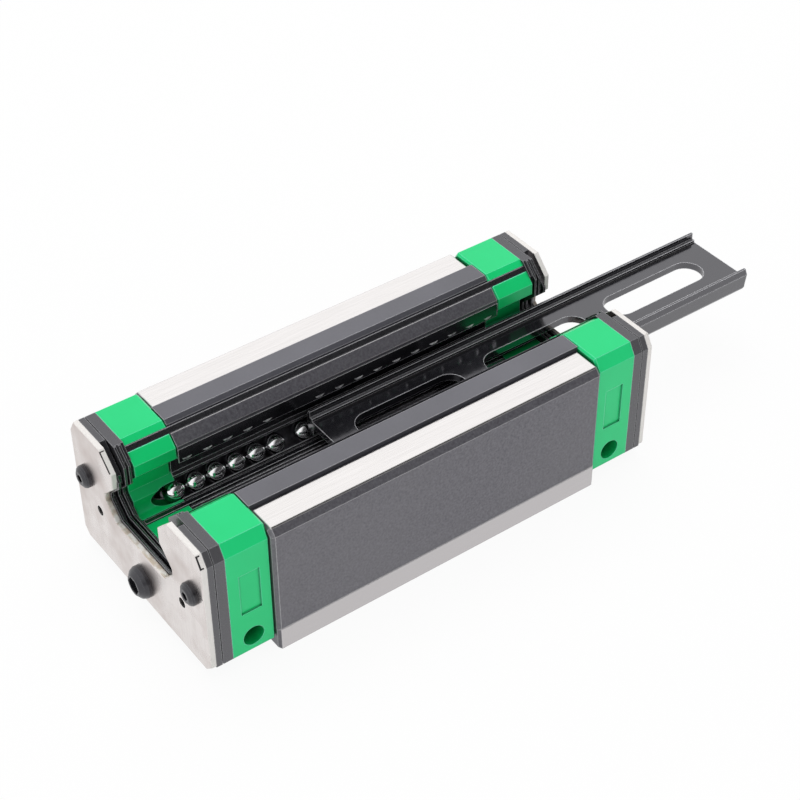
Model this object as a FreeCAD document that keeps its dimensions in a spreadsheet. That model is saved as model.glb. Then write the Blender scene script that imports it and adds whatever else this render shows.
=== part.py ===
# Linear guide carriage, size 30 long, lying upside down on its mounting face with its transport rail
# half drawn out. Millimetres. Z is up from the mounting face, Y runs along the rail, and the front is -Y.
import FreeCAD, Part
import math
import os
import Sketcher

doc = FreeCAD.newDocument("linear_guide_carriage")
sheet = doc.addObject("Spreadsheet::Sheet", "sizes")

# Driving dimensions: name, value, what it is
SIZES = [
    ("block_width", 60.0, "steel block across the two ground sides"),
    ("block_length", 93.0, "steel block along the rail"),
    ("leg_height", 37.0, "mounting face to the ground land on each leg"),
    ("strip_height", 6.7, "ground datum strip along the lower side"),
    ("strip_step", 0.15, "how far the side above the strip lies back"),
    ("foot_chamfer", 0.5, "chamfer beside the mounting face"),
    ("leg_chamfer_wide", 1.65, "outer chamfer of the leg, across"),
    ("leg_chamfer_high", 1.8, "outer chamfer of the leg, upwards"),
    ("end_chamfer", 0.8, "chamfer round the block's end faces"),
    ("land_inner", 21.4, "inner edge of the leg's ground land, from the middle"),
    ("ledge_drop", 0.6, "from the land down to the ledge of the bottom seal plate"),
    ("bolt_spread", 40.0, "mounting holes across the rail"),
    ("bolt_pitch", 60.0, "mounting holes along the rail"),
    ("bolt_drill", 6.8, "tapping drill of the M8 mounting holes"),
    ("bolt_depth", 10.0, "depth of the mounting holes"),
    ("rail_top", 19.0, "top face of the rail the carriage is made for"),
    ("rail_half", 14.0, "half the width of the rail head"),
    ("rail_top_half", 10.3, "half the width of the rail's flat top"),
    ("head_edge", 1.4, "flat edge between the rail's two ball tracks"),
    ("waist_half", 9.4, "half the width of the rail's waist"),
    ("waist_end", 34.2, "where the waist turns out into the rail's foot"),
    ("block_clear", 0.5, "block lips to the rail"),
    ("leg_slope", 33.2, "lower end of the slope on the legs' inner side"),
    ("lip_bottom", 32.4, "underside of the block's steel lip"),
    ("cavity_floor", 15.6, "floor of the block's cavity"),
    ("cavity_half", 14.9, "half the width of the cavity between the tracks"),
    ("pocket_half", 16.6, "half the width of the side retainers' pocket"),
    ("pocket_low", 20.2, "lower edge of that pocket"),
    ("pocket_high", 26.6, "upper edge of that pocket"),
    ("ball_size", 5.556, "diameter of a ball"),
    ("ball_pitch", 5.6, "ball to ball along a row"),
    ("ball_gap", 2.5, "slack in each low row, where its balls lie apart"),
    ("low_first", -47.0, "first ball of the low rows"),
    ("high_first", -43.5, "first ball of the high rows"),
    ("ball_across", 13.0, "loaded rows from the middle"),
    ("low_row", 17.6, "height of the loaded rows beside the rail's top"),
    ("high_row", 29.1, "height of the loaded rows beside the rail's waist"),
    ("race_clear", 0.05, "ball to race"),
    ("cage_clear", 0.2, "ball to retainer"),
    ("return_clear", 0.3, "ball to return bore"),
    ("low_return_across", 22.3, "return bores of the low rows from the middle"),
    ("low_return_height", 16.0, "their height"),
    ("high_return_across", 21.4, "return bores of the high rows from the middle"),
    ("high_return_drop", 5.2, "these bores below the leg's land"),
    ("cap_length", 11.3, "end cap along the rail"),
    ("cap_half", 28.6, "half the width of the end cap"),
    ("cap_bottom", 3.8, "underside of the end cap"),
    ("cap_top", 37.9, "top of the end cap"),
    ("cap_chamfer_wide", 1.9, "outer chamfer of the end parts, across"),
    ("cap_chamfer_high", 3.2, "outer chamfer of the end parts, upwards"),
    ("cap_inner", 15.2, "inner edge of the end cap's flat top"),
    ("cap_bevel", 1.1, "drop of the bevel beside the seal slot"),
    ("cap_edge", 0.5, "chamfer of the cap next to the block"),
    ("cap_floor", 17.1, "floor of the end cap's opening"),
    ("cove_size", 4.2, "diameter of the cove beside that floor"),
    ("cove_across", 10.4, "centre of the cove, from the middle"),
    ("cove_rise", 1.1, "short steep face above the cove"),
    ("cap_slant", 1.8, "45 degree face above it"),
    ("rib_inner", 7.3, "inner side of the centre retainer's ribs"),
    ("rib_outer", 9.1, "outer side of the ribs"),
    ("rib_foot", 16.2, "underside of the ribs in the end caps"),
    ("rib_top", 17.4, "top of the ribs"),
    ("rib_clear", 0.1, "rib to its slot in the end cap"),
    ("turn_lead", 1.5, "straight channel before each ball turn"),
    ("cap_neck_low", 30.1, "lower corner of the end cap's neck"),
    ("cap_clear", 0.4, "end cap to rail"),
    ("slot_outer", 13.7, "outer wall of the bottom seal's slot"),
    ("slot_inner", 12.4, "inner wall of the bottom seal's slot"),
    ("slot_floor", 34.2, "floor of the bottom seal's slot"),
    ("port_size", 5.4, "side lubrication ports"),
    ("port_height", 7.8, "height of the side ports"),
    ("port_depth", 8.0, "depth of the ports"),
    ("recess_wide", 5.3, "shallow recess in the cap's side, along the rail"),
    ("recess_low", 15.7, "its lower edge"),
    ("recess_high", 27.6, "its upper edge"),
    ("recess_depth", 0.4, "its depth"),
    ("inner_seal", 2.6, "thickness of the seal next to the cap"),
    ("seal_gap", 0.2, "line between the two seals"),
    ("outer_seal", 1.6, "thickness of the seal next to the scraper"),
    ("seal_body_clear", 1.5, "seal's opening beside its lips"),
    ("seal_floor", 17.0, "floor of the seals' opening beside the lips"),
    ("seal_lip_clear", 0.35, "seal's lips to the rail"),
    ("seal_lip", 0.6, "thickness of a lip"),
    ("seal_lip_pitch", 1.2, "lip to lip on the inner seal"),
    ("inner_slope_clear", 0.6, "inner seal to the rail's foot slope"),
    ("lip_slope_clear", 0.25, "inner seal's lips to the foot slope"),
    ("outer_slope_clear", 2.8, "outer seal to the foot slope"),
    ("scraper", 1.5, "thickness of the scraper plate"),
    ("scraper_clear", 0.8, "scraper plate to the rail"),
    ("scraper_slope_clear", 1.2, "scraper plate to the foot slope"),
    ("scraper_bottom", 2.2, "underside of the scraper plate"),
    ("scraper_corner", 2.1, "lower corners of the scraper plate"),
    ("scraper_edge", 0.45, "rounding of the scraper's front edges"),
    ("drain_across", 18.25, "small holes in the scraper, from the middle"),
    ("drain_height", 16.7, "their height"),
    ("drain_size", 2.6, "their diameter"),
    ("screw_across", 23.3, "cap screws from the middle"),
    ("screw_height", 24.0, "their height"),
    ("screw_size", 3.0, "thread of the cap screws"),
    ("screw_head", 5.7, "head diameter of the cap screws"),
    ("screw_head_high", 1.8, "head height of the cap screws"),
    ("screw_socket", 2.0, "hexagon of the cap screws, across flats"),
    ("screw_grip", 8.0, "thread length in the block"),
    ("screw_clear", 0.1, "thread to its hole, all round"),
    ("plug_height", 8.5, "height of the front port with its plug"),
    ("plug_size", 6.0, "thread of the plug in the front port"),
    ("plug_head", 8.2, "head diameter of the plug"),
    ("plug_head_high", 2.7, "head height of the plug"),
    ("plug_socket", 4.0, "hexagon of the plug, across flats"),
    ("plug_grip", 6.0, "thread length of the plug in the cap"),
    ("socket_depth", 1.3, "depth of the hexagons"),
    ("head_rim", 0.8, "straight edge under a button head"),
    ("crown_share", 0.31, "radius of a head's flat crown, as a share of its diameter"),
    ("dome_share", 0.45, "radius half way up the dome, as a share of its diameter"),
    ("plate_outer", 20.6, "outer edge of the bottom seal plate"),
    ("plate_inner", 14.1, "inner edge of the bottom seal plate"),
    ("plate_thick", 1.5, "thickness of the bottom seal plate"),
    ("plate_bevel", 1.0, "bevel along its inner edge"),
    ("strip_wide", 1.1, "width of the bottom seal strip"),
    ("strip_drop", 0.2, "from the land down to the top of the strip"),
    ("cage_top", 17.2, "top of the centre retainer's edges"),
    ("cage_middle", 16.5, "top of its middle"),
    ("cage_edge", 9.8, "inner foot of these edges, from the middle"),
    ("cage_ridge", 6.5, "inner ridge, from the middle"),
    ("ridge_high", 0.5, "height and half the foot of the inner ridge"),
    ("cage_outer", 12.6, "half the width of the centre retainer"),
    ("side_cage_inner", 14.35, "inner face of the side retainers"),
    ("side_cage_bevel", 0.9, "bevel on their inner corners"),
    ("side_lip", 13.65, "inner edge of the side retainers' lower lip"),
    ("side_lip_low", 20.7, "underside of that lip"),
    ("side_lip_high", 21.35, "top of its edge"),
    ("lip_cage_outer", 11.8, "outer face of the lip retainers"),
    ("lip_cage_inner", 9.7, "their inner face"),
    ("lip_cage_low", 28.4, "their lower edge"),
    ("guide_wide", 4.8, "width of the turn guides"),
    ("guide_clear", 0.05, "turn guide to its pocket"),
    ("rail_length", 124.3, "transport rail, end to end"),
    ("rail_front", -10.5, "its front end in the rest position"),
    ("web_thick", 2.0, "its web"),
    ("web_top", 23.0, "top of the web"),
    ("ledge_rise", 0.7, "ledge beside the web"),
    ("wall_inner", 8.6, "inner face of the walls under the web"),
    ("ledge_inner", 8.9, "inner edge of the ledge"),
    ("lip_inner", 9.8, "inner face of its lips"),
    ("wall_foot", 18.9, "underside of its walls"),
    ("wall_foot_half", 10.2, "half its width there"),
    ("wall_low", 19.6, "top of the foot's bevel"),
    ("wall_low_half", 10.6, "half its width there"),
    ("wall_high", 24.0, "where the walls are widest"),
    ("wall_high_half", 11.1, "half its width there"),
    ("lip_top", 25.4, "top of its lips"),
    ("lip_top_half", 10.4, "half its width at the top"),
    ("slot_wide", 8.8, "width of the slots in the web"),
    ("slot_long", 32.0, "length of a slot"),
    ("slot_pitch", 39.2, "slot to slot"),
    ("slot_lead", 7.3, "front end to the first slot"),
]
SLOT_COUNT = 3
BALLS_IN_ROW = 17
BALLS_BEFORE_GAP = 6
EIGHTH = math.tan(math.radians(22.5))
NEAR = 1e-3
FULL_TURN = 360.0
HALF_TURN = 180.0


class Size:
    """A length with its value and the sheet expression that gives it."""

    def __init__(self, value, text):
        self.value = value
        self.text = text

    def _join(self, other, sign, value):
        return Size(value, "(%s %s %s)" % (self.text, sign, as_size(other).text))

    def __add__(self, other):
        return self._join(other, "+", self.value + as_size(other).value)

    def __sub__(self, other):
        return self._join(other, "-", self.value - as_size(other).value)

    def __mul__(self, other):
        return self._join(other, "*", self.value * as_size(other).value)

    def __truediv__(self, other):
        return self._join(other, "/", self.value / as_size(other).value)

    def __neg__(self):
        return Size(-self.value, "(-%s)" % self.text)


def as_size(number):
    return number if isinstance(number, Size) else Size(float(number), repr(float(number)))


class Sizes:
    """Every driving dimension as an attribute."""


def fill_sheet():
    sizes = Sizes()
    for row, (name, value, meaning) in enumerate(SIZES, start=1):
        sheet.set("A%d" % row, name)
        sheet.set("B%d" % row, str(value))
        sheet.set("C%d" % row, meaning)
        sheet.setAlias("B%d" % row, name)
        setattr(sizes, name, Size(value, "sizes.%s" % name))
    doc.recompute()
    return sizes


s = fill_sheet()
ZERO = as_size(0)
parts = {}


def keep(name, thing):
    thing.Label = name
    parts[name] = thing
    return thing


def vector(x, y, z=0.0):
    return FreeCAD.Vector(as_size(x).value, as_size(y).value, as_size(z).value)


def placed(x, y, z, rotation=None):
    return FreeCAD.Placement(vector(x, y, z), rotation or FreeCAD.Rotation())


# Sketches and their bound dimensions
def new_sketch(body, name, role, offset=None):
    plane = [item for item in body.Origin.OriginFeatures if item.Role == role][0]
    sketch = body.newObject("Sketcher::SketchObject", name)
    sketch.AttachmentSupport = [(plane, "")]
    sketch.MapMode = "FlatFace"
    if offset is not None:
        sketch.AttachmentOffset = placed(0, 0, offset)
        sketch.setExpression("AttachmentOffset.Base.z", offset.text)
    return sketch


def bind_point(sketch, shape, point, across, along):
    for kind, axis, size in (("DistanceX", -2, across), ("DistanceY", -1, along)):
        if size.value == 0.0:
            sketch.addConstraint(Sketcher.Constraint("PointOnObject", shape, point, axis))
        else:
            made = sketch.addConstraint(Sketcher.Constraint(kind, -1, 1, shape, point, size.value))
            sketch.setExpression("Constraints[%d]" % made, size.text)


def draw_outline(sketch, points):
    points = [(as_size(a), as_size(b)) for a, b in points]
    first = sketch.GeometryCount
    count = len(points)
    for index, start in enumerate(points):
        end = points[(index + 1) % count]
        sketch.addGeometry(Part.LineSegment(vector(*start), vector(*end)), False)
    for index, (across, along) in enumerate(points):
        line = first + index
        after = first + (index + 1) % count
        sketch.addConstraint(Sketcher.Constraint("Coincident", line, 2, after, 1))
        bind_point(sketch, line, 1, across, along)


def draw_circle(sketch, across, along, size):
    radius = size / 2
    circle = Part.Circle(vector(across, along), vector(0, 0, 1), radius.value)
    shape = sketch.addGeometry(circle, False)
    bind_point(sketch, shape, 3, as_size(across), as_size(along))
    made = sketch.addConstraint(Sketcher.Constraint("Radius", shape, radius.value))
    sketch.setExpression("Constraints[%d]" % made, radius.text)


def both_sides(half):
    """A closed outline from its right half, listed from one end of the middle to the other."""
    left = [(-as_size(a), b) for a, b in reversed(half) if as_size(a).value != 0.0]
    return half + left


def new_body(name):
    return doc.addObject("PartDesign::Body", name)


def pad(body, sketch, length, both_ways=False):
    feature = body.newObject("PartDesign::Pad", body.Name + "_pad")
    feature.Profile = sketch
    feature.SideType = "Symmetric" if both_ways else "One side"
    feature.Length = length.value
    feature.setExpression("Length", length.text)
    doc.recompute()
    return feature


def pocket(body, sketch, depth=None, outward=False):
    """Cuts a sketch through everything both ways, or to a depth on one side, and checks that it cut."""
    before = body.Shape.Volume
    feature = body.newObject("PartDesign::Pocket", sketch.Name + "_pocket")
    feature.Profile = sketch
    if depth is None:
        feature.Type = "ThroughAll"
        feature.SideType = "Symmetric"
    else:
        feature.Type = "Length"
        feature.Reversed = outward
        feature.Length = depth.value
        feature.setExpression("Length", depth.text)
    doc.recompute()
    if body.Shape.Volume >= before - 1e-6:
        raise ValueError(feature.Name + " cuts nothing")
    return feature


def edges_where(shape, test):
    return ["Edge%d" % (i + 1) for i, edge in enumerate(shape.Edges) if test(edge)]


def on_plane(edge, value):
    return all(abs(vertex.Point.y - value) < NEAR for vertex in edge.Vertexes)


def dress(body, kind, size_name, size, names):
    base = body.Tip
    feature = body.newObject("PartDesign::" + kind, body.Name + "_" + kind.lower())
    feature.Base = (base, names)
    setattr(feature, size_name, size.value)
    feature.setExpression(size_name, size.text)
    doc.recompute()
    return feature


# Places along the rail, from the middle out
cap_face = s.block_length / 2
seal_face = cap_face + s.cap_length
outer_seal_face = seal_face + s.inner_seal + s.seal_gap
scraper_face = outer_seal_face + s.outer_seal
head_face = scraper_face + s.scraper
port_place = cap_face + s.cap_length / 2
turned = FreeCAD.Rotation(FreeCAD.Vector(0, 0, 1), HALF_TURN)
END_PLACES = (("front", FreeCAD.Placement()), ("rear", FreeCAD.Placement(FreeCAD.Vector(), turned)))
SIDES = (("right", 1), ("left", -1))

# Sizes of the rail that the openings follow
head_low = s.rail_top + s.rail_half - s.rail_top_half
head_high = head_low + s.head_edge
waist_low = head_high + s.rail_half - s.waist_half
ledge_height = s.leg_height - s.ledge_drop


def rail_opening(clear):
    """Right half of the rail's outline with a clearance all round, from its top to its foot."""
    slant = clear * EIGHTH
    return [
        (s.rail_top_half + slant, s.rail_top - clear),
        (s.rail_half + clear, head_low - slant),
        (s.rail_half + clear, head_high + slant),
        (s.waist_half + clear, waist_low + slant),
        (s.waist_half + clear, s.waist_end - slant),
    ]


def foot_slope(clear, height):
    """Distance from the middle of a line that keeps clear of the rail's foot slope, at a height."""
    return s.waist_half + height - s.waist_end + clear * math.sqrt(2)


def mirrored(sign, points):
    """The outline of a part on the right side, or its mirror image on the left."""
    return [(size if sign > 0 else -as_size(size), height) for size, height in points]


# Steel block with its races, return bores and tapped holes
def block_outline():
    side = s.block_width / 2
    upper_side = side - s.strip_step
    lip_half = s.waist_half + s.block_clear
    outer = [
        (side - s.foot_chamfer, ZERO),
        (side, s.foot_chamfer),
        (side, s.strip_height - s.strip_step),
        (upper_side, s.strip_height),
        (upper_side, s.leg_height - s.leg_chamfer_high),
        (upper_side - s.leg_chamfer_wide, s.leg_height),
        (s.land_inner, s.leg_height),
        (s.land_inner, ledge_height),
    ]
    seal_slot = [
        (s.slot_outer, ledge_height),
        (s.slot_outer, s.slot_floor),
        (s.slot_inner, s.slot_floor),
        (s.slot_inner, s.leg_slope + s.slot_inner - lip_half),
        (lip_half, s.leg_slope),
    ]
    tooth = s.high_row + s.ball_size / 3
    cavity = [
        (lip_half, s.lip_bottom),
        (s.lip_cage_outer, s.lip_bottom),
        (s.lip_cage_outer, tooth),
        (s.ball_across, tooth),
        (s.cavity_half, s.high_row),
        (s.cavity_half, s.pocket_high),
        (s.pocket_half, s.pocket_high),
        (s.pocket_half, s.pocket_low),
        (s.cavity_half, s.pocket_low),
        (s.cavity_half, s.low_row),
        (s.ball_across, s.cavity_floor),
    ]
    return both_sides(outer + seal_slot + cavity)


def ball_rows():
    """Across and height of each loaded row with those of its return bore, right side first."""
    low = (s.ball_across, s.low_row, s.low_return_across, s.low_return_height)
    high = (s.ball_across, s.high_row, s.high_return_across, s.leg_height - s.high_return_drop)
    rows = []
    for side, sign in SIDES:
        for level, row in (("low", low), ("high", high)):
            across, height, back_across, back_height = row
            if sign < 0:
                across, back_across = -across, -back_across
            rows.append((side, level, across, height, back_across, back_height))
    return rows


def make_block():
    body = new_body("carriage_block")
    section = new_sketch(body, "block_section", "XZ_Plane")
    draw_outline(section, block_outline())
    pad(body, section, s.block_length, both_ways=True)

    def outer_end_edge(edge):
        middle = edge.CenterOfMass
        at_end = on_plane(edge, cap_face.value) or on_plane(edge, -cap_face.value)
        return at_end and (middle.z < NEAR or abs(middle.x) > s.land_inner.value + NEAR)

    dress(body, "Chamfer", "Size", s.end_chamfer, edges_where(body.Shape, outer_end_edge))

    bores = new_sketch(body, "block_bores", "XZ_Plane")
    for side, level, across, height, back_across, back_height in ball_rows():
        draw_circle(bores, across, height, s.ball_size + s.race_clear * 2)
        draw_circle(bores, back_across, back_height, s.ball_size + s.return_clear * 2)
    pocket(body, bores)

    holes = new_sketch(body, "block_mounting_holes", "XY_Plane")
    for across in (s.bolt_spread / 2, -s.bolt_spread / 2):
        for along in (s.bolt_pitch / 2, -s.bolt_pitch / 2):
            draw_circle(holes, across, along, s.bolt_drill)
    pocket(body, holes, s.bolt_depth, outward=True)

    for end, offset, outward in (("front", cap_face, False), ("rear", -cap_face, True)):
        threads = new_sketch(body, "block_%s_threads" % end, "XZ_Plane", offset)
        for across in (s.screw_across, -s.screw_across):
            draw_circle(threads, across, s.screw_height, s.screw_size + s.screw_clear * 2)
        pocket(body, threads, s.screw_grip + s.screw_size / 2, outward=outward)
    return keep("carriage_block", body)


# Moulded end caps with the turns that lead each row of balls back
def cap_outline(floor, inner):
    outer = [
        (s.cap_half, s.cap_bottom),
        (s.cap_half, s.cap_top - s.cap_chamfer_high),
        (s.cap_half - s.cap_chamfer_wide, s.cap_top),
    ]
    return both_sides(outer + inner + floor)


def cap_points():
    neck = s.waist_half + s.cap_clear
    head = s.rail_half + s.cap_clear
    cove_top = s.cap_floor + s.cove_size / 2
    cove_side = s.cove_across + s.cove_size / 2
    inner = [
        (s.cap_inner, s.cap_top),
        (s.slot_outer, s.cap_top - s.cap_bevel),
        (s.slot_outer, s.slot_floor),
        (s.slot_inner, s.slot_floor),
        (s.slot_inner, s.leg_slope + s.slot_inner - neck),
        (neck, s.leg_slope),
        (neck, s.cap_neck_low),
        (head, s.cap_neck_low - head + neck),
        (head, cove_top + s.cove_rise + s.cap_slant),
        (head - s.cap_slant, cove_top + s.cove_rise),
        (cove_side, cove_top),
        (s.cove_across, s.cap_floor),
    ]
    slot_floor = s.rib_foot - s.rib_clear
    floor = [
        (s.rib_outer + s.rib_clear, s.cap_floor),
        (s.rib_outer + s.rib_clear, slot_floor),
        (s.rib_inner - s.rib_clear, slot_floor),
        (s.rib_inner - s.rib_clear, s.cap_floor),
    ]
    return cap_outline(floor, inner)


def row_turn(across, height, back_across, back_height):
    """Middle, radius and rotation of the half circle between a loaded row and its return bore."""
    run = back_across.value - across.value
    rise = back_height.value - height.value
    middle = vector((across + back_across) / 2, -cap_face - s.turn_lead, (height + back_height) / 2)
    direction = FreeCAD.Vector(run, 0, rise).normalize()
    outward = FreeCAD.Vector(0, -1, 0)
    rotation = FreeCAD.Rotation(direction, outward, direction.cross(outward), "XYZ")
    return middle, math.hypot(run, rise) / 2, rotation


def half_ring(name, radius, size, middle, rotation):
    ring = doc.addObject("Part::Torus", name)
    ring.Radius1 = radius
    ring.Radius2 = size.value / 2
    ring.setExpression("Radius2", (size / 2).text)
    ring.Angle3 = HALF_TURN
    ring.Placement = FreeCAD.Placement(middle, rotation)
    return ring


def half_disc(name, radius, width, middle, rotation):
    disc = doc.addObject("Part::Cylinder", name)
    disc.Radius = radius
    disc.Height = width.value
    disc.setExpression("Height", width.text)
    disc.Angle = HALF_TURN
    shift = rotation.multVec(vector(0, 0, -width / 2))
    disc.Placement = FreeCAD.Placement(middle + shift, rotation)
    return disc


def lead_rods(name, radius, size, middle, rotation):
    """The straight channels that join both ends of a turn to the block."""
    rods = []
    for index, spot in enumerate((radius, -radius)):
        rod = doc.addObject("Part::Cylinder", "%s_lead_%d" % (name, index + 1))
        rod.Radius = size.value / 2
        rod.setExpression("Radius", (size / 2).text)
        rod.Height = s.turn_lead.value
        rod.setExpression("Height", s.turn_lead.text)
        start = middle + rotation.multVec(vector(spot, -s.turn_lead))
        rod.Placement = FreeCAD.Placement(start, FreeCAD.Rotation(vector(0, 0, 1), vector(0, -1, 0)))
        rods.append(rod)
    return rods


def lead_block(name, radius, width, middle, rotation):
    """The part of a guide, or of its pocket, between the turn and the block."""
    block = doc.addObject("Part::Box", name)
    block.Length = 2 * radius
    block.Width = s.turn_lead.value
    block.setExpression("Width", s.turn_lead.text)
    block.Height = width.value
    block.setExpression("Height", width.text)
    corner = middle + rotation.multVec(vector(-radius, -s.turn_lead, -width / 2))
    block.Placement = FreeCAD.Placement(corner, rotation)
    return block


def fused(name, shapes):
    feature = doc.addObject("Part::MultiFuse", name)
    feature.Shapes = shapes
    return feature


def cut(name, base, tool):
    feature = doc.addObject("Part::Cut", name)
    feature.Base = base
    feature.Tool = tool
    return feature


def make_turns(end):
    """The cap's ball turns and the straight leads before them, and the guides that fill their middles."""
    turns = []
    leads = []
    guides = []
    channel = s.ball_size + s.return_clear * 2
    for side, level, across, height, back_across, back_height in ball_rows():
        name = "%s_%s_%s" % (end, side, level)
        middle, radius, rotation = row_turn(across, height, back_across, back_height)
        spot = (middle, rotation)
        turns.append(half_ring(name + "_channel", radius, channel, *spot))
        pocket_wide = s.guide_wide + s.guide_clear * 2
        turns.append(half_disc(name + "_pocket", radius, pocket_wide, *spot))
        leads.append(lead_block(name + "_pocket_lead", radius, pocket_wide, *spot))
        leads.extend(lead_rods(name + "_channel", radius, channel, *spot))
        core = fused(name + "_core", [
            half_disc(name + "_core_disc", radius, s.guide_wide, *spot),
            lead_block(name + "_core_lead", radius, s.guide_wide, *spot),
        ])
        turned_core = cut(name + "_turned", core, half_ring(name + "_ring", radius, channel, *spot))
        rods = fused(name + "_rods", lead_rods(name + "_groove", radius, channel, *spot))
        guides.append(cut(name + "_guide", turned_core, rods))
    return fused(end + "_turns", turns), fused(end + "_leads", leads), guides


def make_cap(end, place):
    body = new_body(end + "_cap_body")
    section = new_sketch(body, end + "_cap_section", "XZ_Plane", cap_face)
    draw_outline(section, cap_points())
    pad(body, section, s.cap_length)

    def edge_by_block(edge):
        middle = edge.CenterOfMass
        outside = abs(middle.x) > s.slot_outer.value + NEAR or middle.z < s.cap_bottom.value + NEAR
        lip = abs(middle.x) < s.slot_inner.value - NEAR and middle.z > s.cap_neck_low.value + NEAR
        return on_plane(edge, -cap_face.value) and (outside or lip)

    dress(body, "Chamfer", "Size", s.cap_edge, edges_where(body.Shape, edge_by_block))
    coves = new_sketch(body, end + "_cap_coves", "XZ_Plane", cap_face)
    for across in (s.cove_across, -s.cove_across):
        draw_circle(coves, across, s.cap_floor + s.cove_size / 2, s.cove_size)
    pocket(body, coves)
    threads = new_sketch(body, end + "_cap_screw_holes", "XZ_Plane", cap_face)
    for across in (s.screw_across, -s.screw_across):
        draw_circle(threads, across, s.screw_height, s.screw_size + s.screw_clear * 2)
    pocket(body, threads)
    front_port = new_sketch(body, end + "_cap_front_port", "XZ_Plane", seal_face)
    draw_circle(front_port, ZERO, s.plug_height, s.plug_size + s.screw_clear * 2)
    pocket(body, front_port, s.port_depth)

    for side, sign in SIDES:
        wall = s.cap_half if sign > 0 else -s.cap_half
        port = new_sketch(body, "%s_%s_port" % (end, side), "YZ_Plane", wall)
        draw_circle(port, -port_place, s.port_height, s.port_size)
        pocket(body, port, s.port_depth, outward=sign < 0)
        recess = new_sketch(body, "%s_%s_recess" % (end, side), "YZ_Plane", wall)
        near = -port_place - s.recess_wide / 2
        far = -port_place + s.recess_wide / 2
        draw_outline(recess, [
            (near, s.recess_low),
            (far, s.recess_low),
            (far, s.recess_high),
            (near, s.recess_high),
        ])
        pocket(body, recess, s.recess_depth, outward=sign < 0)

    turns, leads, guides = make_turns(end)
    cap = cut(end + "_cap_leads", cut(end + "_cap_turns", body, turns), leads)
    cap.Placement = place
    keep(end + "_end_cap", cap)
    group = doc.addObject("Part::Compound", end + "_guides")
    group.Links = guides
    group.Placement = place
    keep(end + "_turn_guides", group)


# Rubber seals and the steel scraper behind which they sit
def end_plate(body, name, offset, thickness, clears, floor=None, lower=None):
    """Pads a plate with the end cap's outline, open for the rail with two clearances and a floor."""
    sketch = new_sketch(body, name, "XZ_Plane", offset)
    clear, slope_clear = clears
    top, head, edge, waist, neck = rail_opening(clear)
    if floor is not None:
        top = (top[0] - top[1] + floor, floor)
    shoulder = s.waist_end - slope_clear * math.sqrt(2) + clear
    upper = [
        (s.cap_half, s.cap_top - s.cap_chamfer_high),
        (s.cap_half - s.cap_chamfer_wide, s.cap_top),
    ]
    inner = [(foot_slope(slope_clear, s.cap_top), s.cap_top), (neck[0], shoulder), waist, edge, head]
    half = (lower or [(s.cap_half, s.cap_bottom)]) + upper + inner + [top]
    draw_outline(sketch, both_sides(half))
    return pad(body, sketch, thickness)


def screw_holes(body, name, offset):
    sketch = new_sketch(body, name, "XZ_Plane", offset)
    for across in (s.screw_across, -s.screw_across):
        draw_circle(sketch, across, s.screw_height, s.screw_size + s.screw_clear * 2)
    draw_circle(sketch, ZERO, s.plug_height, s.plug_size + s.screw_clear * 2)
    return sketch


def make_seals(end, place):
    lip_face = seal_face + s.inner_seal - s.seal_lip
    slope = s.inner_slope_clear
    layers = (
        ("inner", seal_face, s.inner_seal, slope, s.lip_slope_clear, (lip_face - s.seal_lip_pitch, lip_face)),
        ("outer", outer_seal_face, s.outer_seal, s.outer_slope_clear, s.outer_slope_clear,
         (scraper_face - s.seal_lip,)),
    )
    for layer, offset, thickness, slope_clear, lip_slope, lip_faces in layers:
        name = "%s_%s_end_seal" % (end, layer)
        body = new_body(name)
        end_plate(body, name + "_body", offset, thickness, (s.seal_body_clear, slope_clear), s.seal_floor)
        for index, face in enumerate(lip_faces):
            lip = "%s_lip_%d" % (name, index + 1)
            end_plate(body, lip, face, s.seal_lip, (s.seal_lip_clear, lip_slope))
        pocket(body, screw_holes(body, name + "_holes", offset))
        body.Placement = place
        keep(name, body)


def make_scraper(end, place):
    name = end + "_scraper"
    body = new_body(name)
    lower = [
        (s.cap_half - s.scraper_corner, s.scraper_bottom),
        (s.cap_half, s.scraper_bottom + s.scraper_corner),
    ]
    clears = (s.scraper_clear, s.scraper_slope_clear)
    end_plate(body, name + "_plate", scraper_face, s.scraper, clears, lower=lower)
    front = -head_face.value
    front_edges = edges_where(body.Shape, lambda edge: on_plane(edge, front))
    dress(body, "Fillet", "Radius", s.scraper_edge, front_edges)
    holes = screw_holes(body, name + "_holes", scraper_face)
    for across in (s.drain_across, -s.drain_across):
        draw_circle(holes, across, s.drain_height, s.drain_size)
    pocket(body, holes)
    body.Placement = place
    keep(name, body)


# Button-head screws
def make_screw(name, thread, head, head_high, socket, length):
    """A screw along Y with its head towards the front and its bearing face at the origin."""
    body = new_body(name)
    profile = new_sketch(body, name + "_profile", "XY_Plane")
    draw_outline(profile, [
        (ZERO, -head_high),
        (head * s.crown_share, -head_high),
        (head * s.dome_share, (head_high + s.head_rim) / -2),
        (head / 2, -s.head_rim),
        (head / 2, ZERO),
        (thread / 2, ZERO),
        (thread / 2, length),
        (ZERO, length),
    ])
    feature = body.newObject("PartDesign::Revolution", name + "_turned")
    feature.Profile = profile
    feature.ReferenceAxis = (profile, ["V_Axis"])
    feature.Angle = FULL_TURN
    doc.recompute()
    key = new_sketch(body, name + "_key", "XZ_Plane", head_high)
    corner = socket / math.sqrt(3)
    flat = socket / 2
    draw_outline(key, [
        (corner, ZERO), (corner / 2, flat), (-corner / 2, flat),
        (-corner, ZERO), (-corner / 2, -flat), (corner / 2, -flat),
    ])
    pocket(body, key, s.socket_depth)
    return body


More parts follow.
